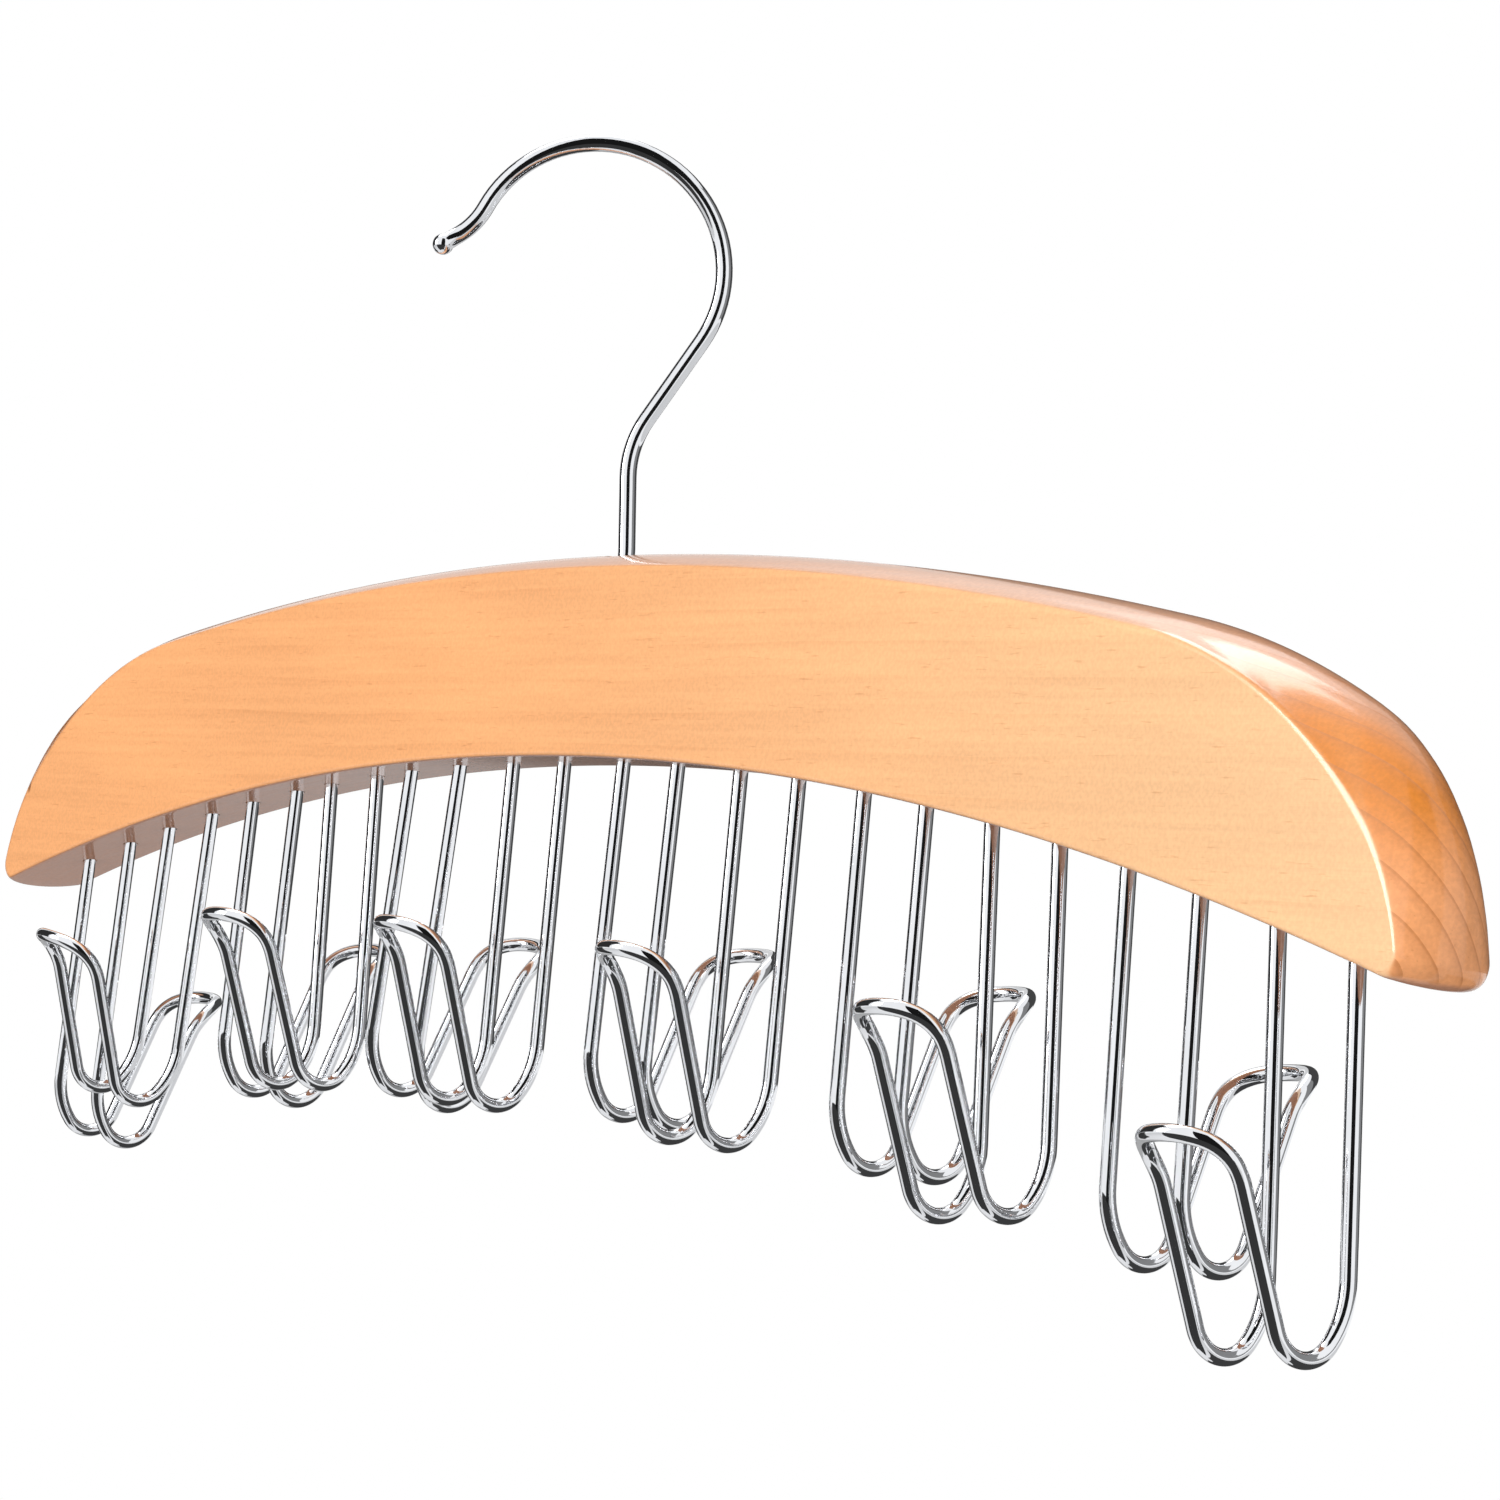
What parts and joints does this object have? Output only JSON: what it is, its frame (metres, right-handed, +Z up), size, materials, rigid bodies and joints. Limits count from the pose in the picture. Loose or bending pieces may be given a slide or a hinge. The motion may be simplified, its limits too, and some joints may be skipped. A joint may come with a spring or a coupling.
{
  "type": "belt hanger",
  "caption": "Arched wooden belt hanger that turns on a round wire hook, with a row of bent wire belt hooks facing front and back under its bar.",
  "frame": {"origin": "on the axis that the bar turns about, at the inner side of the hook's ring, where a wardrobe rod carries the hanger", "axes": "+X along the bar, +Y towards its back, +Z up along the swivel hook's shank"},
  "size_m": [0.4136, 0.0579, 0.1811],
  "materials": {
    "varnished_wood": "clear gloss varnish over pale fine-grained wood",
    "chromed_wire": "bright chrome plating on round wire",
    "turned_steel": "plain turned steel"
  },
  "bodies": {
    "hook": {"swivel_hook": "chromed_wire"},
    "bar": {"wooden_bar": "varnished_wood", "swivel_bush": "turned_steel", "belt_hook_01_back": "chromed_wire", "belt_hook_02_front": "chromed_wire", "belt_hook_03_back": "chromed_wire", "belt_hook_04_front": "chromed_wire", "belt_hook_05_back": "chromed_wire", "belt_hook_06_front": "chromed_wire", "belt_hook_07_back": "chromed_wire", "belt_hook_08_front": "chromed_wire", "belt_hook_09_back": "chromed_wire", "belt_hook_10_front": "chromed_wire", "belt_hook_11_back": "chromed_wire", "belt_hook_12_front": "chromed_wire"}
  },
  "joints": [
    {"name": "hook_swivel", "type": "hinge", "parent": "hook", "child": "bar", "pos_m": [0, 0, 0], "axis": [0, 0, 1], "continuous": true}
  ]
}
